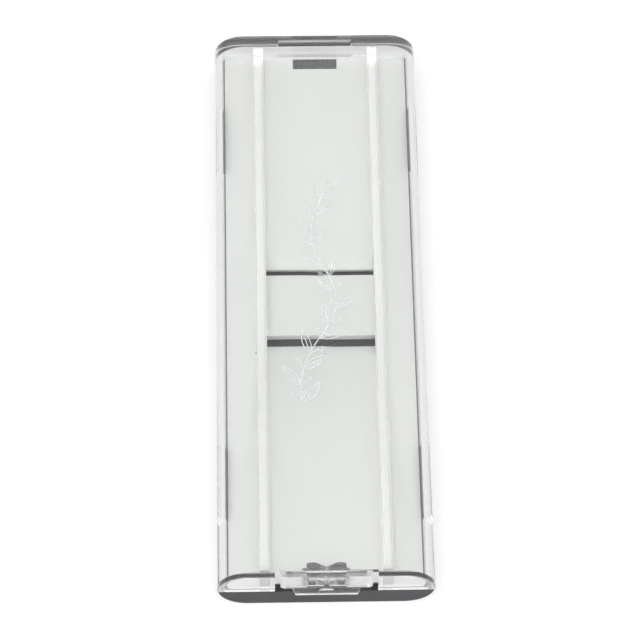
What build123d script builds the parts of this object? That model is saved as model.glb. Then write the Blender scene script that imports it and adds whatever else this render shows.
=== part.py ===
from build123d import *
import os

# Reed case: a flat two-shell case for one woodwind reed. A clear lid is hinged to a
# dark base tray at the back and snaps shut at the front with a sprung tongue, and a
# pale reed plate lies in the tray, flush with its rim. Sizes are in millimetres.
# X runs across the case, Y from the latch at the front to the hinge at the back, and
# Z upwards. The origin is the centre of the underside.

# Case, over its closed shells
case_length = 107.0
case_width = 36.0
base_height = 4.8
lid_height = 5.6
side_flat = 0.2
parting_gap = 0.08
cut_overrun = 1.0

# Base tray
floor_thickness = 1.2
base_side_wall = 1.35
base_end_wall = 1.25
ledge_width = 1.05
end_ledge_width = 3.6
cavity_corner_radius = 2.2
base_end_round = 0.5

# Lid shell and its two reed ribs
lid_roof = 1.0
lid_side_wall = 1.2
lid_front_wall = 1.2
lid_back_wall = 2.1
lid_back_draft = 5.0
lid_inner_radius = 4.3
lid_front_round = 0.15
lid_back_round = 0.4
rib_spacing = 20.3
rib_root_width = 1.75
rib_nose_width = 1.55
rib_nose_radius = 0.2
rib_plate_gap = 0.4
rib_end_gap = 0.4

# Reed plate
plate_clearance = 0.1
plate_end_clearance = 0.2
plate_thickness = 0.7
plate_corner_radius = 1.0
channel_width = 18.7
ramp_centre = 0.75
ramp_top_distance = 20.7
ramp_run = 2.75
ramp_drop = 1.5
panel_length = 12.0
panel_recess = 0.5
panel_thickness = 1.5
cheek_thickness = 1.0
end_notch_width = 7.8
end_notch_depth = 2.6
end_notch_mouth_radius = 0.6

# Locating tabs on the rim, which stand in shallow pockets in the lid's side walls
tab_length = 12.7
tab_height = 1.3
tab_centre = 33.85
tab_thickness = 0.6
tab_inset = 0.7
tab_clearance = 0.1
tab_end_clearance = 0.45

# Hinge: a knuckle on the lid with a stub pin at each end
hinge_inset = 0.75
hinge_drop = 1.9
knuckle_width = 13.0
knuckle_neck = 0.8
knuckle_side_gap = 0.15
knuckle_front_gap = 0.1
pin_radius = 0.38
pin_clearance = 0.05
pin_length = 1.8
pin_end_gap = 0.2

# Latch tongue, hanging in a gap in the front wall from the edge of the roof
tongue_width = 15.2
tongue_slot = 0.9
tongue_bottom_height = 1.2
tongue_foot_height = 0.2
tongue_root_gap = 0.08
tongue_corner_radius = 0.9
lip_root_width = 11.3
lip_tip_width = 10.2
lip_reach = 1.3
lip_thickness = 0.8
lip_edge_round = 0.2
lip_root_round = 0.3
gusset_width = 2.7
gusset_reach = 0.8
gusset_height = 0.4
gusset_taper = 20.0

# Hook block behind the tongue, and the ridge of the base that it snaps under
hook_width = 6.6
hook_depth = 1.9
hook_root_gap = 0.3
hook_vee_width = 3.6
hook_vee_depth = 0.8
hook_lobe_radius = 0.5
hook_vee_radius = 0.8
hook_reach_down = 1.9
hook_wall_clearance = 0.4
barb_reach = 0.25
barb_height = 0.65
ridge_width = 5.0
ridge_reach = 0.3
ridge_height = 0.6
ridge_top_drop = 0.3
ridge_lead_share = 0.5
snap_gap = 0.15
hook_well_side_gap = 0.4
hook_well_floor_gap = 0.5

# Sizes that follow from the ones above
case_height = base_height + lid_height
shoulder_radius = (case_height - side_flat) / 2
front_face = -case_length / 2
front_inner = front_face + lid_front_wall
back_face = case_length / 2
lid_bottom = base_height + parting_gap
roof_underside = case_height - lid_roof
inner_width = case_width - 2 * lid_side_wall
rib_bottom = base_height + rib_plate_gap
tab_outer = case_width / 2 - tab_inset
tab_centre_x = tab_outer - tab_thickness / 2

pocket_width = case_width - 2 * base_side_wall
pocket_length = case_length - 2 * base_end_wall
pocket_floor = base_height - plate_thickness
cavity_width = pocket_width - 2 * ledge_width
cavity_length = pocket_length - 2 * end_ledge_width

hinge_y = back_face - hinge_inset
hinge_z = base_height - hinge_drop
pin_bore_radius = pin_radius + pin_clearance

tongue_thickness = lid_front_wall - tongue_root_gap
tongue_bottom = base_height + tongue_bottom_height
tongue_foot = base_height + tongue_foot_height
tongue_inner = front_face + tongue_thickness
hook_back = tongue_inner + hook_depth
hook_bottom = base_height - hook_reach_down
hook_top = roof_underside - hook_root_gap
wall_inner = front_face + base_end_wall
hook_front = wall_inner + hook_wall_clearance
ridge_top = base_height - ridge_top_drop
ridge_bottom = ridge_top - ridge_height


with BuildPart() as base_tray:
    # Outer form: a full-round section, cut off flat at the rim
    with BuildSketch(Plane.XZ):
        with Locations((0, case_height / 2)):
            RectangleRounded(case_width, case_height, shoulder_radius)
        with Locations((0, base_height)):
            Rectangle(case_width, case_height, align=(Align.CENTER, Align.MIN), mode=Mode.SUBTRACT)
    extrude(amount=case_length / 2, both=True)
    end_faces = base_tray.faces().filter_by(Axis.Y)
    rim_face = base_tray.faces().sort_by(Axis.Z)[-1]
    fillet([e for e in end_faces.edges() if e not in rim_face.edges()], base_end_round)

    # The back of the rim is rounded about the hinge line, so that the lid can swing
    with BuildSketch(Plane.YZ):
        with Locations((back_face, base_height)):
            Rectangle(hinge_inset, hinge_drop, align=(Align.MAX, Align.MAX))
        with Locations((hinge_y, hinge_z)):
            Circle(hinge_drop, mode=Mode.SUBTRACT)
    extrude(amount=case_width / 2, both=True, mode=Mode.SUBTRACT)

    # Pocket for the reed plate, then the hollow under it, which leaves a ledge
    with BuildSketch(Plane.XY.offset(base_height)):
        RectangleRounded(pocket_width, pocket_length, plate_corner_radius)
    extrude(amount=-plate_thickness, mode=Mode.SUBTRACT)
    with BuildSketch(Plane.XZ) as cavity_profile:
        with Locations((0, floor_thickness)):
            Rectangle(cavity_width, base_height, align=(Align.CENTER, Align.MIN))
        fillet(cavity_profile.vertices().group_by(Axis.Y)[0], cavity_corner_radius)
    extrude(amount=cavity_length / 2, both=True, mode=Mode.SUBTRACT)

    # Locating tabs on the rim
    with BuildSketch(Plane.XY.offset(base_height)):
        with GridLocations(2 * tab_centre_x, 2 * tab_centre, 2, 2):
            Rectangle(tab_thickness, tab_length)
    extrude(amount=tab_height)

    # Gap right through the back wall for the lid's knuckle, and bores for its stub pins
    with Locations((0, back_face + cut_overrun, -cut_overrun)):
        Box(
            knuckle_width + 2 * knuckle_side_gap,
            knuckle_neck + knuckle_front_gap + cut_overrun,
            case_height,
            align=(Align.CENTER, Align.MAX, Align.MIN),
            mode=Mode.SUBTRACT,
        )
    with BuildSketch(Plane.YZ):
        with Locations((hinge_y, hinge_z)):
            Circle(hinge_inset + knuckle_front_gap)
    extrude(amount=knuckle_width / 2 + knuckle_side_gap, both=True, mode=Mode.SUBTRACT)
    with BuildSketch(Plane.YZ):
        with Locations((hinge_y, hinge_z)):
            Circle(pin_bore_radius)
    extrude(amount=knuckle_width / 2 + pin_length + pin_end_gap, both=True, mode=Mode.SUBTRACT)

    # Well for the hook behind the front wall, and the ridge that it snaps under
    with Locations((0, wall_inner, hook_bottom - hook_well_floor_gap)):
        Box(
            hook_width + 2 * hook_well_side_gap,
            hook_wall_clearance + hook_depth + hook_well_side_gap,
            case_height,
            align=(Align.CENTER, Align.MIN, Align.MIN),
            mode=Mode.SUBTRACT,
        )
    with BuildSketch(Plane.YZ):
        with BuildLine():
            Polyline(
                (wall_inner - base_end_wall / 2, ridge_bottom),
                (wall_inner + ridge_reach, ridge_bottom),
                (wall_inner + ridge_reach, ridge_top - ridge_lead_share * ridge_height),
                (wall_inner, ridge_top),
                (wall_inner - base_end_wall / 2, ridge_top),
                close=True,
            )
        make_face()
    extrude(amount=ridge_width / 2, both=True)


with BuildPart() as reed_plate:
    plate_width = pocket_width - 2 * plate_clearance
    plate_length = pocket_length - 2 * plate_end_clearance
    ramp_thickness = plate_thickness
    ramp_back = ramp_centre + ramp_top_distance / 2
    ramp_front = ramp_centre - ramp_top_distance / 2

    # Flat plate with a notch in each end
    with BuildSketch(Plane.XY.offset(base_height)) as plate_outline:
        RectangleRounded(plate_width, plate_length, plate_corner_radius)
        with Locations((0, plate_length / 2), (0, -plate_length / 2)):
            Rectangle(end_notch_width, 2 * end_notch_depth, mode=Mode.SUBTRACT)
        mouths = plate_outline.vertices().filter_by(
            lambda v: abs(abs(v.Y) - plate_length / 2) < end_notch_depth / 2 and abs(v.X) < end_notch_width
        )
        fillet(mouths, end_notch_mouth_radius)
    extrude(amount=-plate_thickness)

    # Well across the middle, between two cheeks
    with BuildSketch(Plane.XY.offset(base_height)):
        with Locations((0, ramp_centre)):
            Rectangle(channel_width, ramp_top_distance)
    extrude(amount=-plate_thickness, mode=Mode.SUBTRACT)
    with BuildSketch(Plane.XY.offset(pocket_floor + plate_thickness / 2)):
        for side in (1, -1):
            with Locations((side * (channel_width + cheek_thickness) / 2, ramp_centre)):
                Rectangle(cheek_thickness, ramp_top_distance)
    extrude(amount=-(ramp_drop + plate_thickness / 2))

    # A ramp falls from the plate towards each slot
    with BuildSketch(Plane.YZ):
        for edge, way in ((ramp_back, -1), (ramp_front, 1)):
            with BuildLine():
                Polyline(
                    (edge, base_height),
                    (edge + way * ramp_run, base_height - ramp_drop),
                    (edge + way * ramp_run, base_height - ramp_drop - ramp_thickness),
                    (edge, base_height - ramp_thickness),
                    close=True,
                )
            make_face()
    extrude(amount=channel_width / 2 + cheek_thickness / 2, both=True)

    # The panel between the two slots lies a little below the plate
    with Locations((0, ramp_centre, base_height - panel_recess)):
        Box(
            channel_width + cheek_thickness,
            panel_length,
            panel_thickness,
            align=(Align.CENTER, Align.CENTER, Align.MAX),
        )


with BuildPart() as lid:
    # Outer form, the same section from the parting line up
    with BuildSketch(Plane.XZ):
        with Locations((0, case_height / 2)):
            RectangleRounded(case_width, case_height, shoulder_radius)
        with Locations((0, lid_bottom)):
            Rectangle(case_width, case_height, align=(Align.CENTER, Align.MAX), mode=Mode.SUBTRACT)
    extrude(amount=case_length / 2, both=True)
    parting_edges = lid.faces().sort_by(Axis.Z)[0].edges()
    front_edges = lid.faces().filter_by(Axis.Y).sort_by(Axis.Y)[0].edges()
    back_edges = lid.faces().filter_by(Axis.Y).sort_by(Axis.Y)[-1].edges()
    fillet([e for e in front_edges if e not in parting_edges], lid_front_round)
    fillet([e for e in back_edges if e not in parting_edges], lid_back_round)

    # Pockets for the base's locating tabs
    with BuildSketch(Plane.XY.offset(lid_bottom)):
        with GridLocations(2 * tab_centre_x, 2 * tab_centre, 2, 2):
            Rectangle(tab_thickness + 2 * tab_clearance, tab_length + 2 * tab_end_clearance)
    extrude(amount=tab_height, mode=Mode.SUBTRACT)

    # Hollow, open below, with a drafted back wall
    with BuildSketch(Plane.XZ) as hollow_profile:
        with Locations((0, roof_underside)):
            Rectangle(inner_width, case_height, align=(Align.CENTER, Align.MAX))
        fillet(hollow_profile.vertices().group_by(Axis.Y)[-1], lid_inner_radius)
    extrude(amount=case_length / 2 - lid_front_wall, mode=Mode.SUBTRACT)
    extrude(hollow_profile.sketch, amount=-(case_length / 2 - lid_back_wall), mode=Mode.SUBTRACT)
    inner_ends = lid.faces().filter_by(Axis.Y).sort_by(Axis.Y)[1:3]
    draft(inner_ends.sort_by(Axis.Y)[-1:], Plane.XY.offset(roof_underside), -lid_back_draft)

    # Two long ribs under the roof, with rounded noses, hold a reed from side to side
    with BuildSketch(Plane.XZ) as rib_profile:
        for rib_x in (rib_spacing / 2, -rib_spacing / 2):
            with BuildLine():
                Polyline(
                    (rib_x - rib_nose_width / 2, rib_bottom),
                    (rib_x + rib_nose_width / 2, rib_bottom),
                    (rib_x + rib_root_width / 2, roof_underside),
                    (rib_x + rib_root_width / 2, roof_underside + lid_roof / 2),
                    (rib_x - rib_root_width / 2, roof_underside + lid_roof / 2),
                    (rib_x - rib_root_width / 2, roof_underside),
                    close=True,
                )
            make_face()
        noses = rib_profile.vertices().group_by(Axis.Y)[0]
        fillet(noses, rib_nose_radius)
    extrude(amount=case_length / 2 - lid_front_wall - rib_end_gap)
    extrude(rib_profile.sketch, amount=-(case_length / 2 - lid_back_wall - rib_end_gap))

    # Gap right through the front wall and the edge of the roof, in which the tongue hangs
    with Locations((0, front_face - cut_overrun)):
        Box(
            tongue_width + 2 * tongue_slot,
            lid_front_wall + cut_overrun,
            case_height + cut_overrun,
            align=(Align.CENTER, Align.MIN, Align.MIN),
            mode=Mode.SUBTRACT,
        )

    # Knuckle, rounded about the hinge line, and its stub pins
    with BuildSketch(Plane.YZ):
        with Locations((hinge_y, hinge_z)):
            Circle(hinge_inset)
        with Locations((back_face, hinge_z)):
            Rectangle(knuckle_neck, lid_bottom - hinge_z + knuckle_neck, align=(Align.MAX, Align.MIN))
    extrude(amount=knuckle_width / 2, both=True)
    with BuildSketch(Plane.YZ):
        with Locations((hinge_y, hinge_z)):
            Circle(pin_radius)
    extrude(amount=knuckle_width / 2 + pin_length, both=True)


with BuildPart() as latch_tongue:
    # Tongue, with round lower corners
    with BuildSketch(Plane.XZ.offset(-tongue_inner)) as tongue_face:
        with Locations((0, tongue_bottom)):
            Rectangle(tongue_width, case_height - tongue_bottom, align=(Align.CENTER, Align.MIN))
        fillet(tongue_face.vertices().group_by(Axis.Y)[0], tongue_corner_radius)
    extrude(amount=tongue_thickness)
    top_edges = latch_tongue.edges().filter_by(Axis.X).group_by(Axis.Z)[-1]
    fillet(top_edges.sort_by(Axis.Y)[0], lid_front_round)

    # Slanting foot under it
    with BuildSketch(Plane.YZ):
        with BuildLine():
            Polyline(
                (front_face, tongue_bottom),
                (tongue_inner, tongue_foot),
                (tongue_inner, tongue_bottom + tongue_corner_radius),
                (front_face, tongue_bottom + tongue_corner_radius),
                close=True,
            )
        make_face()
    extrude(amount=tongue_width / 2 - tongue_corner_radius, both=True)

    # Finger lip along its foot, tapering to the tip
    with BuildSketch(Plane.XY.offset(tongue_bottom)):
        with BuildLine():
            Polyline(
                (-lip_root_width / 2, front_face),
                (-lip_tip_width / 2, front_face - lip_reach),
                (lip_tip_width / 2, front_face - lip_reach),
                (lip_root_width / 2, front_face),
                (lip_root_width / 2, front_face + tongue_thickness / 2),
                (-lip_root_width / 2, front_face + tongue_thickness / 2),
                close=True,
            )
        make_face()
    extrude(amount=lip_thickness)
    lip_tip = latch_tongue.faces().sort_by(Axis.Y)[0]
    fillet(lip_tip.edges().filter_by(Axis.X), lip_edge_round)
    lip_top = latch_tongue.faces().filter_by(Axis.Z).sort_by(Axis.Y)[0]
    fillet(lip_top.edges().filter_by(Axis.X).sort_by(Axis.Y)[-1], lip_root_round)

    # Small three-sided gusset on the middle of the lip
    with BuildSketch(Plane.XY.offset(tongue_bottom + lip_thickness)):
        with BuildLine():
            Polyline(
                (-gusset_width / 2, front_face - gusset_reach),
                (gusset_width / 2, front_face - gusset_reach),
                (0, front_face + tongue_thickness / 2),
                close=True,
            )
        make_face()
    extrude(amount=gusset_height, taper=gusset_taper)

    # Hook block with two round lobes and a vee between them
    with BuildSketch(Plane.XY.offset(hook_bottom)) as hook_plan:
        with BuildLine():
            Polyline(
                (-hook_width / 2, tongue_inner),
                (-hook_width / 2, hook_back),
                (-hook_vee_width / 2, hook_back),
                (0, hook_back - hook_vee_depth),
                (hook_vee_width / 2, hook_back),
                (hook_width / 2, hook_back),
                (hook_width / 2, tongue_inner),
                close=True,
            )
        make_face()
        lobes = hook_plan.vertices().filter_by(lambda v: v.Y > hook_back - hook_vee_depth / 2)
        fillet(lobes, hook_lobe_radius)
        vee_foot = hook_plan.vertices().filter_by(lambda v: abs(v.X) < hook_vee_radius)
        fillet(vee_foot, hook_vee_radius)
    extrude(amount=hook_top - hook_bottom)

    # Below the tongue the block stands clear of the base's wall, but for its barb
    with BuildSketch(Plane.YZ):
        with BuildLine():
            Polyline(
                (front_face, tongue_bottom),
                (hook_front, tongue_bottom),
                (hook_front, ridge_bottom - snap_gap),
                (hook_front - barb_reach, ridge_bottom - snap_gap - barb_reach),
                (hook_front - barb_reach, ridge_bottom - snap_gap - barb_height),
                (hook_front, hook_bottom),
                (front_face, hook_bottom),
                close=True,
            )
        make_face()
    extrude(amount=hook_width / 2, both=True, mode=Mode.SUBTRACT)


os.makedirs("parts", exist_ok=True)
base_tray.part.label = "base_tray"
reed_plate.part.label = "reed_plate"
lid.part.label = "lid"
latch_tongue.part.label = "latch_tongue"
export_step(base_tray.part, "parts/base_tray.step")
export_step(reed_plate.part, "parts/reed_plate.step")
export_step(lid.part, "parts/lid.step")
export_step(latch_tongue.part, "parts/latch_tongue.step")
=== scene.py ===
import math

import bmesh
import bpy
from mathutils import Matrix, Vector


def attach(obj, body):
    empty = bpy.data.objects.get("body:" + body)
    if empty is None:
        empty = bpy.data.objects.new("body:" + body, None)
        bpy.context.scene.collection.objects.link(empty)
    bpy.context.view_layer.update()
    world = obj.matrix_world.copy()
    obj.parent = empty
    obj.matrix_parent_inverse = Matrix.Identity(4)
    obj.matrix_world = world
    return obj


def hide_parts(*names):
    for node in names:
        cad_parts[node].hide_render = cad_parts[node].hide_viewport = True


# Reed case: a clear hinged lid with a latch tongue, over a dark tray with a pale reed plate.
# Everything is in metres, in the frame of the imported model: Y runs along the case towards
# the hinge, Z goes up through the lid, and X points right as seen from the latch.

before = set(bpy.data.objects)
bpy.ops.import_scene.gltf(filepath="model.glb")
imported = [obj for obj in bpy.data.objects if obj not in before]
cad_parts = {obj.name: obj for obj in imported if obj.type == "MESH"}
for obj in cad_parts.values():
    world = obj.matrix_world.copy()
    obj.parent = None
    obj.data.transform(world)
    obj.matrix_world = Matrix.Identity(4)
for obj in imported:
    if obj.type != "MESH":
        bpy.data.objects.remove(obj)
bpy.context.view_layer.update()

MM = 0.001

# Lid and latch: each finish changes between the two places given
HINGE_WALL_Y = (51.0 * MM, 51.7 * MM)
RIB_END_Y = (-51.6 * MM, -51.7 * MM)
HOOK_ROOT_Y = (-52.6 * MM, -52.3 * MM)
HOOK_LOBE_Y = (-51.3 * MM, -51.0 * MM)
HOOK_TOP_Z = (8.7 * MM, 8.9 * MM)
LIP_TOP_Z = (6.8 * MM, 7.0 * MM)

# Reed ribs under the lid's roof, which end just short of its front wall
RIB_MIDDLE_X = 10.15 * MM
RIB_HALF_WIDTH = 1.0 * MM
RIB_TOP_Z = 9.38 * MM
ROOF_UNDERSIDE_Z = 9.4 * MM
FRONT_WALL_Y = -52.2 * MM

# Hollow of the tray. Its side goes from the first X to the second as it rises
HOLLOW_END_Y = 52.3 * MM
HOLLOW_FLOOR_Z = 1.0 * MM
HOLLOW_RISE_Z = (2.0 * MM, 3.0 * MM)
HOLLOW_SIDE_X = (15.8 * MM, 16.7 * MM)

# Most values of a noise lie between these two
NOISE_RANGE = (0.3, 0.7)

# The sockets of a colour Mix node share their names, so they go by number
MIX_FACTOR, MIX_FIRST, MIX_SECOND = 0, 6, 7
MIX_RESULT = 2


# ---------------------------------------------------------------- node helpers

class Graph:
    """A node tree, with short ways to add nodes to it. What goes into a node is a plain
    number, colour, vector or material, or the output of another node."""

    def __init__(self, tree):
        self.tree = tree

    def feed(self, socket, value):
        """Set a socket, or link it where the value is another node's output."""
        if isinstance(value, bpy.types.NodeSocket):
            self.tree.links.new(value, socket)
        else:
            socket.default_value = value

    def node(self, kind, inputs=None, **settings):
        """A new node, with its settings and then its inputs."""
        node = self.tree.nodes.new(kind)
        for key, value in settings.items():
            setattr(node, key, value)
        for name, value in (inputs or {}).items():
            self.feed(node.inputs[name], value)
        return node

    def maths(self, operation, first, second=0.0):
        """One sum on two values, or on the first alone, such as ABSOLUTE."""
        node = self.node("ShaderNodeMath", {0: first, 1: second}, operation=operation)
        return node.outputs["Value"]

    def product(self, first, *others):
        """The values multiplied. Of values that are 0 or 1, it is 1 where they all are."""
        for other in others:
            first = self.maths("MULTIPLY", first, other)
        return first

    def span(self, value, source, target=(0.0, 1.0)):
        """A value mapped from the range source to the range target, and held at its ends."""
        node = self.node("ShaderNodeMapRange", {
            "Value": value,
            "From Min": source[0],
            "From Max": source[1],
            "To Min": target[0],
            "To Max": target[1],
        })
        return node.outputs["Result"]


class Finish(Graph):
    """A material under construction: one Principled shader, and patterns for its sockets
    that lie in the coordinates of the object."""

    def __init__(self, name):
        self.material = bpy.data.materials.new(name)
        self.material.use_nodes = True
        super().__init__(self.material.node_tree)
        self.tree.nodes.clear()
        self.shader = self.node("ShaderNodeBsdfPrincipled")
        self.surface = self.node("ShaderNodeOutputMaterial").inputs["Surface"]
        self.feed(self.surface, self.shader.outputs["BSDF"])
        self.place = self.node("ShaderNodeTexCoord").outputs["Object"]

    def set(self, inputs):
        """Set or link sockets of the shader."""
        for name, value in inputs.items():
            self.feed(self.shader.inputs[name], value)

    def axes(self):
        """X, Y and Z of the place on the object."""
        parts = self.node("ShaderNodeSeparateXYZ", {"Vector": self.place}).outputs
        return parts["X"], parts["Y"], parts["Z"]

    def noise(self, scale, detail, roughness=0.5, stretch=(1.0, 1.0, 1.0), turn=0.0):
        """A noise of about scale blotches to a metre, stretched and then turned about Z."""
        mapping = self.node("ShaderNodeMapping", {
            "Vector": self.place,
            "Scale": stretch,
            "Rotation": (0.0, 0.0, turn),
        })
        node = self.node("ShaderNodeTexNoise", {
            "Vector": mapping.outputs["Vector"],
            "Scale": scale,
            "Detail": detail,
            "Roughness": roughness,
        })
        return node.outputs["Fac"]

    def tint(self, factor, first, second):
        """A colour from first to second, as factor goes from 0 to 1."""
        inputs = {MIX_FACTOR: factor, MIX_FIRST: first, MIX_SECOND: second}
        return self.node("ShaderNodeMix", inputs, data_type="RGBA").outputs[MIX_RESULT]

    def relief(self, height, depth, strength, below=None):
        """A bump of that depth in metres, laid over another bump if one is given."""
        inputs = {"Height": height, "Distance": depth, "Strength": strength}
        if below is not None:
            inputs["Normal"] = below
        return self.node("ShaderNodeBump", inputs).outputs["Normal"]


# ---------------------------------------------------------------- finishes

CLEAR_IOR = 1.57
CLEAR_COLOUR = (0.985, 0.99, 0.99, 1.0)

# Roughness that each dulled place of the clear plastic adds to the polish
HAZE = 0.035
HINGE_DULL = 0.12
RIB_END_DULL = 0.6
HOOK_DULL = 0.14
LOBE_DULL = 0.30

# Scratches along the case and across it: scale, stretch, turn, and where the noise cuts in
SCRATCHES = (
    (900.0, (1.0, 0.03, 1.0), 0.12, (0.68, 0.74)),
    (700.0, (0.04, 1.0, 1.0), 0.50, (0.70, 0.76)),
)
SCRATCH_DEPTH, SCRATCH_STRENGTH = 0.004 * MM, 0.15
GRAIN_DEPTH, GRAIN_STRENGTH = 0.02 * MM, 0.6

# Colours in pairs, between which a surface varies
# The tray's two pairs are lit and shaded copies of one plastic: the hollow pair is painted light
# and the outside pair painted shade; the speckle and cloud within each pair are the plastic's
# own texture
HOLLOW_SPECKLE_PAINTED_LIGHT_COLOURS = (0.062, 0.066, 0.072, 1.0), (0.215, 0.222, 0.230, 1.0)
OUTSIDE_PAINTED_SHADE_COLOURS = (0.020, 0.021, 0.025, 1.0), (0.026, 0.027, 0.031, 1.0)
PLATE_COLOURS = (0.703, 0.715, 0.691, 1.0), (0.735, 0.743, 0.722, 1.0)
DUST_COLOUR = (0.30, 0.27, 0.22, 1.0)
FROST_COLOUR = (0.92, 0.93, 0.93, 1.0)

# Dust: a dot in the middle of some of the cells that the plate is divided into
DUST_CELLS = 85.0       # to a metre
DUST_RADIUS = 0.016     # as a share of a cell
DUST_SHARE = 0.3        # of the cells


def clear_plastic(name, polish, latch):
    """Clear polystyrene with fine handling scratches, duller by the hinge and at the front
    ends of the ribs. The latch also has a dulled hook and a grained finger lip."""
    f = Finish(name)
    x, y, z = f.axes()

    blotches = f.noise(scale=140.0, detail=2.0)
    haze = f.span(blotches, (0.35, 0.75), (polish, polish + HAZE))
    beside = f.maths("SUBTRACT", f.maths("ABSOLUTE", x), RIB_MIDDLE_X)
    rib = f.maths("LESS_THAN", f.maths("ABSOLUTE", beside), RIB_HALF_WIDTH)
    inside = f.maths("GREATER_THAN", y, FRONT_WALL_Y)
    under_roof = f.maths("LESS_THAN", z, RIB_TOP_Z)
    rib_end = f.product(rib, inside, under_roof, f.span(y, RIB_END_Y, (0.0, RIB_END_DULL)))
    dull = f.maths("ADD", f.span(y, HINGE_WALL_Y, (0.0, HINGE_DULL)), rib_end)
    if latch:
        low = f.span(z, HOOK_TOP_Z, (LOBE_DULL, 0.0))
        lobes = f.product(low, f.span(y, HOOK_LOBE_Y, (1.0, 0.0)))
        hook = f.product(f.span(y, HOOK_ROOT_Y), f.maths("ADD", lobes, HOOK_DULL))
        dull = f.maths("ADD", dull, hook)

    relief = None
    for scale, stretch, turn, cut in SCRATCHES:
        streaks = f.noise(scale=scale, detail=1.0, stretch=stretch, turn=turn)
        relief = f.relief(f.span(streaks, cut), SCRATCH_DEPTH, SCRATCH_STRENGTH, relief)
    if latch:
        grain = f.noise(scale=2600.0, detail=1.0)
        grain = f.product(grain, f.span(z, LIP_TOP_Z, (1.0, 0.0)))
        relief = f.relief(grain, GRAIN_DEPTH, GRAIN_STRENGTH, relief)

    f.set({
        "Base Color": CLEAR_COLOUR,
        "IOR": CLEAR_IOR,
        "Transmission Weight": 1.0,
        "Roughness": f.maths("ADD", haze, dull),
        "Normal": relief,
    })
    return f.material


def tray_plastic():
    """Dark grey moulded plastic, plain outside and speckled in the hollow. The hollow is painted
    far lighter than the outside as painted light, and the outside darker as painted shade,
    though both are one plastic.
    """
    f = Finish("tray_plastic")
    x, y, z = f.axes()
    speckle = f.noise(scale=4200.0, detail=1.5, roughness=0.7)
    cloud = f.noise(scale=120.0, detail=3.0)

    side = f.span(z, HOLLOW_RISE_Z, HOLLOW_SIDE_X)
    between_ends = f.maths("LESS_THAN", f.maths("ABSOLUTE", y), HOLLOW_END_Y)
    between_sides = f.maths("LESS_THAN", f.maths("ABSOLUTE", x), side)
    above_floor = f.maths("GREATER_THAN", z, HOLLOW_FLOOR_Z)
    hollow = f.product(between_ends, between_sides, above_floor)

    # Painted light and shade: the hollow gets a much lighter copy of the plastic than the
    # outside
    hollow_painted_light = f.tint(f.span(speckle, (0.48, 0.66)), *HOLLOW_SPECKLE_PAINTED_LIGHT_COLOURS)
    outside_painted_shade = f.tint(f.span(cloud, NOISE_RANGE), *OUTSIDE_PAINTED_SHADE_COLOURS)
    f.set({
        "Base Color": f.tint(hollow, outside_painted_shade, hollow_painted_light),
        "Specular IOR Level": 0.35,
        "Roughness": f.span(cloud, NOISE_RANGE, (0.38, 0.5)),
        "Normal": f.relief(speckle, depth=0.01 * MM, strength=0.35),
    })
    return f.material


def plate_plastic():
    """Pale satin plastic, a little mottled by use, with a few dark specks of dust."""
    f = Finish("plate_plastic")
    mottle = f.noise(scale=45.0, detail=4.0, roughness=0.55, stretch=(1.0, 0.5, 1.0))
    pale = f.tint(f.span(mottle, NOISE_RANGE), *PLATE_COLOURS)

    cells = f.node("ShaderNodeTexVoronoi", {"Vector": f.place, "Scale": DUST_CELLS}).outputs
    draw = f.node("ShaderNodeSeparateColor", {"Color": cells["Color"]}).outputs["Red"]
    dot = f.maths("LESS_THAN", cells["Distance"], DUST_RADIUS)
    speck = f.product(dot, f.maths("LESS_THAN", draw, DUST_SHARE))

    fine = f.noise(scale=2600.0, detail=2.0)
    f.set({
        "Base Color": f.tint(speck, pale, DUST_COLOUR),
        "Roughness": f.span(mottle, NOISE_RANGE, (0.42, 0.52)),
        "Normal": f.relief(fine, depth=0.004 * MM, strength=0.4),
    })
    return f.material


def frosted_line():
    """Cut line in clear plastic, whitish and half see-through."""
    f = Finish("frosted_line")
    grain = f.noise(scale=2400.0, detail=2.0)
    f.set({
        "Base Color": FROST_COLOUR,
        "Roughness": 0.7,
        "Alpha": f.span(grain, NOISE_RANGE, (0.35, 0.75)),
    })
    return f.material


CLEAR = clear_plastic("clear_plastic", polish=0.0, latch=False)
LATCH_CLEAR = clear_plastic("clear_plastic_grained", polish=0.02, latch=True)
FROST = frosted_line()
TRAY = tray_plastic()
PLATE = plate_plastic()


# ---------------------------------------------------------------- moulded pieces

SAME_POINT = 0.0005 * MM            # corners this close are one
FLAT_ANGLE = math.radians(0.6)      # faces this level with each other are one
EDGE_ANGLE = math.radians(32)       # from here on, two faces meet in an edge
SAME_CORNER = 0.0002 * MM           # eased corners this close are one


def placed(name, data):
    """A new object in the scene, at the origin."""
    thing = bpy.data.objects.new(name, data)
    bpy.context.scene.collection.objects.link(thing)
    return thing


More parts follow.
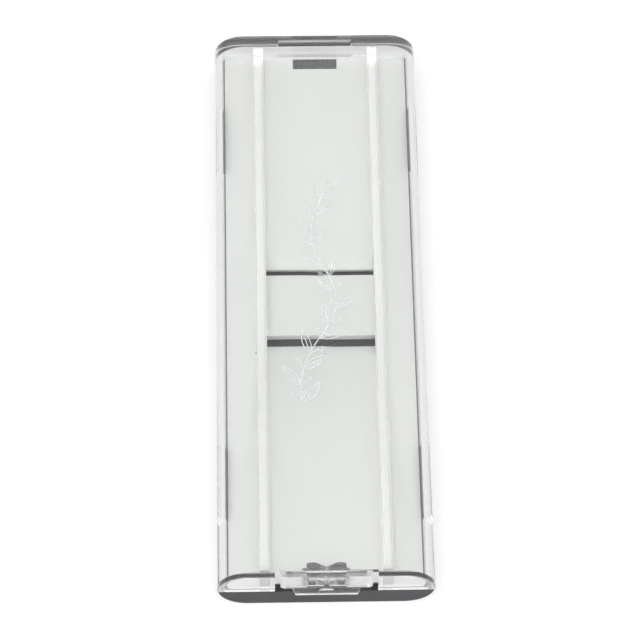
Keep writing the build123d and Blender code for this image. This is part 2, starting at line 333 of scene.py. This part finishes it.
def moulded(name, node, body, finish, edge):
    """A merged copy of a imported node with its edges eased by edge, standing for the node."""
    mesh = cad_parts[node].data.copy()
    mesh.name = name
    piece = placed(name, mesh)

    shape = bmesh.new()
    shape.from_mesh(mesh)
    bmesh.ops.remove_doubles(shape, verts=shape.verts, dist=SAME_POINT)
    bmesh.ops.dissolve_limit(
        shape,
        angle_limit=FLAT_ANGLE,
        verts=shape.verts,
        edges=shape.edges,
        use_dissolve_boundaries=False,
    )
    shape.to_mesh(mesh)
    shape.free()

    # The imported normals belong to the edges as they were, so the shading starts afresh
    packed_normals = mesh.attributes.get("custom_normal")
    if packed_normals:
        mesh.attributes.remove(packed_normals)
    for polygon in mesh.polygons:
        polygon.use_smooth = True
    mesh.set_sharp_from_angle(angle=EDGE_ANGLE)
    mesh.materials.clear()
    mesh.materials.append(finish)

    bevel = piece.modifiers.new("eased_edges", "BEVEL")
    bevel.width = edge
    bevel.segments = 2
    bevel.limit_method = "ANGLE"
    bevel.angle_limit = EDGE_ANGLE
    bevel.harden_normals = True
    bevel.use_clamp_overlap = True
    weld = piece.modifiers.new("joined_corners", "WELD")
    weld.merge_threshold = SAME_CORNER

    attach(piece, body)
    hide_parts(node)


moulded("tray", "base_tray", "base", TRAY, edge=0.06 * MM)
moulded("plate", "reed_plate", "base", PLATE, edge=0.10 * MM)
moulded("clear_lid", "lid", "lid", CLEAR, edge=0.05 * MM)
moulded("clear_tongue", "latch_tongue", "latch", LATCH_CLEAR, edge=0.05 * MM)


# ---------------------------------------------------------------- engraved branch

BRANCH_SIZES = (
    ("Leaf Length", 5.2 * MM),
    ("Leaf Width", 1.5 * MM),
    ("Berry Reach", 1.9 * MM),
    ("Berry Size", 0.34 * MM),
    ("Lean", math.radians(42)),
    ("Shrink", 0.5),
    ("Line Width", 0.2 * MM),
    ("Line Depth", 0.02 * MM),
)
LEAVES = 15
LEAF_BELLY = 0.4        # where a leaf is widest, as a share of its length
MIDRIB_LENGTH = 0.72    # how far its midrib runs, likewise
LEAF_STEPS = 10
BERRY_SIDES = 14

# Points that the stem runs by, X and Y in millimetres
STEM_ROUTE = (
    (-3.4, -21.0), (-4.2, -13.0), (2.6, -6.0), (3.4, 2.0), (-2.4, 9.0), (-1.6, 16.0), (1.8, 22.0)
)
STEM_DROP = 0.02 * MM   # from the roof's underside to the middle of the lines


def leafy_tree():
    """Nodes that make a stem into a branch of thin lines, with leaves on its left and right
    by turns and a berry across from each."""
    tree = bpy.data.node_groups.new("leafy_branch", "GeometryNodeTree")
    face = tree.interface
    face.new_socket("Stem", in_out="INPUT", socket_type="NodeSocketGeometry")
    for name, value in BRANCH_SIZES:
        size = face.new_socket(name, in_out="INPUT", socket_type="NodeSocketFloat")
        size.default_value = value
    count = face.new_socket("Leaves", in_out="INPUT", socket_type="NodeSocketInt")
    count.default_value = LEAVES
    face.new_socket("Finish", in_out="INPUT", socket_type="NodeSocketMaterial")
    face.new_socket("Lines", in_out="OUTPUT", socket_type="NodeSocketGeometry")

    g = Graph(tree)
    given = g.node("NodeGroupInput").outputs

    def point(x, y):
        return g.node("ShaderNodeCombineXYZ", {"X": x, "Y": y}).outputs["Vector"]

    def joined(*shapes):
        join = g.node("GeometryNodeJoinGeometry")
        for shape in shapes:
            g.feed(join.inputs["Geometry"], shape)
        return join.outputs["Geometry"]

    def leaf_line(bow, share):
        """One line of a leaf that lies along X from its foot, bowed to one side."""
        length = given["Leaf Length"]
        belly = g.maths("MULTIPLY", length, LEAF_BELLY * share)
        line = g.node("GeometryNodeCurveQuadraticBezier", {
            "Resolution": LEAF_STEPS,
            "Start": (0.0, 0.0, 0.0),
            "Middle": point(belly, g.maths("MULTIPLY", given["Leaf Width"], bow)),
            "End": point(g.maths("MULTIPLY", length, share), 0.0),
        })
        return line.outputs["Curve"]

    leaf = joined(leaf_line(1.0, 1.0), leaf_line(-1.0, 1.0), leaf_line(0.0, MIDRIB_LENGTH))

    # One berry at the end of its stalk
    reach, radius = given["Berry Reach"], given["Berry Size"]
    stalk = g.node("GeometryNodeCurvePrimitiveLine", {"End": point(reach, 0.0)})
    ring = g.node("GeometryNodeCurvePrimitiveCircle", {
        "Resolution": BERRY_SIDES,
        "Radius": radius,
    })
    moved = g.node("GeometryNodeTransform", {
        "Geometry": ring.outputs["Curve"],
        "Translation": point(g.maths("ADD", reach, radius), 0.0),
    })
    berry = joined(stalk.outputs["Curve"], moved.outputs["Geometry"])

    # Feet along the stem, where the leaves grow smaller towards its tip
    spread = {"Curve": given["Stem"], "Count": given["Leaves"]}
    feet = g.node("GeometryNodeCurveToPoints", spread, mode="COUNT").outputs
    index = g.node("GeometryNodeInputIndex").outputs["Index"]
    order = g.maths("DIVIDE", index, given["Leaves"])
    size = g.maths("SUBTRACT", 1.0, g.maths("MULTIPLY", order, given["Shrink"]))
    odd = g.maths("MODULO", index, 2.0)
    side = g.maths("SUBTRACT", g.maths("MULTIPLY", odd, 2.0), 1.0)
    along = g.node("ShaderNodeSeparateXYZ", {"Vector": feet["Tangent"]}).outputs
    heading = g.maths("ARCTAN2", along["Y"], along["X"])
    lean = g.maths("MULTIPLY", side, given["Lean"])

    def grown(shape, angle):
        """The shape at each foot, turned by angle about Z."""
        turned = g.node("ShaderNodeCombineXYZ", {"Z": angle}).outputs["Vector"]
        spots = g.node("GeometryNodeInstanceOnPoints", {
            "Points": feet["Points"],
            "Instance": shape,
            "Rotation": turned,
            "Scale": size,
        })
        return spots.outputs["Instances"]

    leaves = grown(leaf, g.maths("ADD", heading, lean))
    berries = grown(berry, g.maths("SUBTRACT", heading, lean))
    branch = joined(given["Stem"], leaves, berries)

    # Each line becomes a thin bar that lies flat
    flat = g.node("GeometryNodeSetCurveNormal", {"Curve": branch}, mode="Z_UP")
    stroke = g.node("GeometryNodeCurvePrimitiveQuadrilateral", {
        "Width": given["Line Width"],
        "Height": given["Line Depth"],
    })
    bars = g.node("GeometryNodeCurveToMesh", {
        "Curve": flat.outputs["Curve"],
        "Profile Curve": stroke.outputs["Curve"],
        "Fill Caps": True,
    })
    real = g.node("GeometryNodeRealizeInstances", {"Geometry": bars.outputs["Mesh"]})
    coated = g.node("GeometryNodeSetMaterial", {
        "Geometry": real.outputs["Geometry"],
        "Material": given["Finish"],
    })
    g.node("NodeGroupOutput", {"Lines": coated.outputs["Geometry"]})
    return tree


def engraving():
    """A leafy branch of frosted lines just under the lid's roof."""
    line = bpy.data.curves.new("stem", "CURVE")
    line.dimensions = "3D"
    stem = line.splines.new("NURBS")
    stem.points.add(len(STEM_ROUTE) - 1)
    for point, (x, y) in zip(stem.points, STEM_ROUTE):
        point.co = (x * MM, y * MM, ROOF_UNDERSIDE_Z - STEM_DROP, 1.0)
    stem.order_u = 4
    stem.use_endpoint_u = True
    stem.resolution_u = 10

    drawn = placed("stem", line)
    tree = leafy_tree()
    modifier = drawn.modifiers.new("leafy_branch", "NODES")
    modifier.node_group = tree
    finish = next(item for item in tree.interface.items_tree if item.name == "Finish")
    modifier[finish.identifier] = FROST
    bpy.context.view_layer.update()
    grown = drawn.evaluated_get(bpy.context.evaluated_depsgraph_get())
    mesh = bpy.data.meshes.new_from_object(grown)
    mesh.name = "engraved_branch"
    drawn.modifiers.remove(modifier)
    bpy.data.objects.remove(drawn)

    piece = placed("engraved_branch", mesh)
    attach(piece, "lid")


engraving()


# ---------------------------------------------------------------- floor, light, camera

FLOOR_HALF_SIZE = 1.5
FLOOR_DROP = 0.02 * MM          # keeps the floor clear of the tray's underside

SURROUNDINGS_STRENGTH = 0.7
SOFT_BOX_SIZE = (1.0, 0.7)
SOFT_BOX_POWER = 4.1
SOFT_BOX_PLACE = Vector((-0.08, -0.34, 0.63))

# Camera of the photograph, found by fitting the outline of the case. The sensor is in
# millimetres, and the distance in metres from the point that it is aimed at
FOCAL_PIXELS = 3177.0
PHOTO_PIXELS = 640.0
SENSOR_WIDTH = 36.0
CAMERA_RISE = math.radians(60.616)
CAMERA_SWING = math.radians(-2.268)
CAMERA_ROLL = math.radians(1.306)
CAMERA_DISTANCE = 0.55443
CAMERA_AIM = Vector((0.00005, 0.00048, 0.0))


def seen_directly(graph, seen, otherwise, through):
    """The value seen for a ray from the camera or off a mirror, and otherwise for the light
    that the surface gives to the object. For a ray that has passed a clear piece it is the
    share through of the way from otherwise to seen."""
    path = graph.node("ShaderNodeLightPath").outputs
    clear = path["Is Transmission Ray"]
    direct = graph.maths("MAXIMUM", path["Is Camera Ray"], path["Is Glossy Ray"])
    direct = graph.maths("MAXIMUM", direct, clear)
    share = graph.product(direct, graph.span(clear, (0.0, 1.0), (1.0, through)))
    return graph.span(share, (0.0, 1.0), (otherwise, seen))


def floor():
    """A white card that keeps the object's shadow and throws light back at it."""
    half = FLOOR_HALF_SIZE
    mesh = bpy.data.meshes.new("floor")
    corners = [(-half, -half, 0), (half, -half, 0), (half, half, 0), (-half, half, 0)]
    mesh.from_pydata(corners, [], [(0, 1, 2, 3)])
    piece = placed("floor", mesh)
    piece.location.z = -FLOOR_DROP

    f = Finish("floor_card")
    f.set({
        "Base Color": seen_directly(f, seen=0.45, otherwise=0.86, through=1.0),
        "Roughness": 0.9,
        "Specular IOR Level": 0.0,
    })
    glow = f.node("ShaderNodeEmission", {
        "Strength": seen_directly(f, seen=0.60, otherwise=0.0, through=0.5),
    })
    both = f.node("ShaderNodeAddShader", {
        0: f.shader.outputs["BSDF"],
        1: glow.outputs["Emission"],
    })
    f.feed(f.surface, both.outputs["Shader"])
    mesh.materials.append(f.material)


def studio():
    """White surroundings, and one large soft box above the front of the case."""
    world = bpy.data.worlds.new("studio")
    bpy.context.scene.world = world
    world.use_nodes = True
    surroundings = world.node_tree.nodes["Background"].inputs
    surroundings["Color"].default_value = (1.0, 1.0, 1.0, 1.0)
    surroundings["Strength"].default_value = SURROUNDINGS_STRENGTH

    lamp = bpy.data.lights.new("soft_box", "AREA")
    lamp.shape = "RECTANGLE"
    lamp.size, lamp.size_y = SOFT_BOX_SIZE
    lamp.energy = SOFT_BOX_POWER
    holder = placed("soft_box", lamp)
    holder.location = SOFT_BOX_PLACE
    holder.rotation_euler = (-SOFT_BOX_PLACE).to_track_quat("-Z", "Y").to_euler()


def photo_camera():
    """The camera, turned by its swing about Z, its rise over the floor, and its roll."""
    rise, swing, roll = CAMERA_RISE, CAMERA_SWING, CAMERA_ROLL
    forward = Vector((
        -math.sin(swing) * math.cos(rise),
        math.cos(swing) * math.cos(rise),
        -math.sin(rise),
    ))
    level = Vector((math.cos(swing), math.sin(swing), 0.0))
    upright = level.cross(forward)
    right = level * math.cos(roll) + upright * math.sin(roll)
    up = -level * math.sin(roll) + upright * math.cos(roll)

    lens = bpy.data.cameras.new("camera")
    lens.lens = FOCAL_PIXELS / PHOTO_PIXELS * SENSOR_WIDTH
    lens.sensor_width = SENSOR_WIDTH
    lens.clip_start, lens.clip_end = 0.01, 10.0
    camera = placed("camera", lens)
    turn = Matrix((right, up, -forward)).transposed().to_4x4()
    camera.matrix_world = Matrix.Translation(CAMERA_AIM - forward * CAMERA_DISTANCE) @ turn
    bpy.context.scene.camera = camera


floor()
studio()
photo_camera()

# Enough bounces for light that crosses the lid's walls and ribs many times
scene = bpy.context.scene
scene.view_settings.view_transform = "Standard"
scene.cycles.blur_glossy = 0.0
scene.cycles.max_bounces = 64
scene.cycles.transmission_bounces = 24
scene.cycles.glossy_bounces = 48
scene.cycles.diffuse_bounces = 6
scene.cycles.transparent_max_bounces = 8
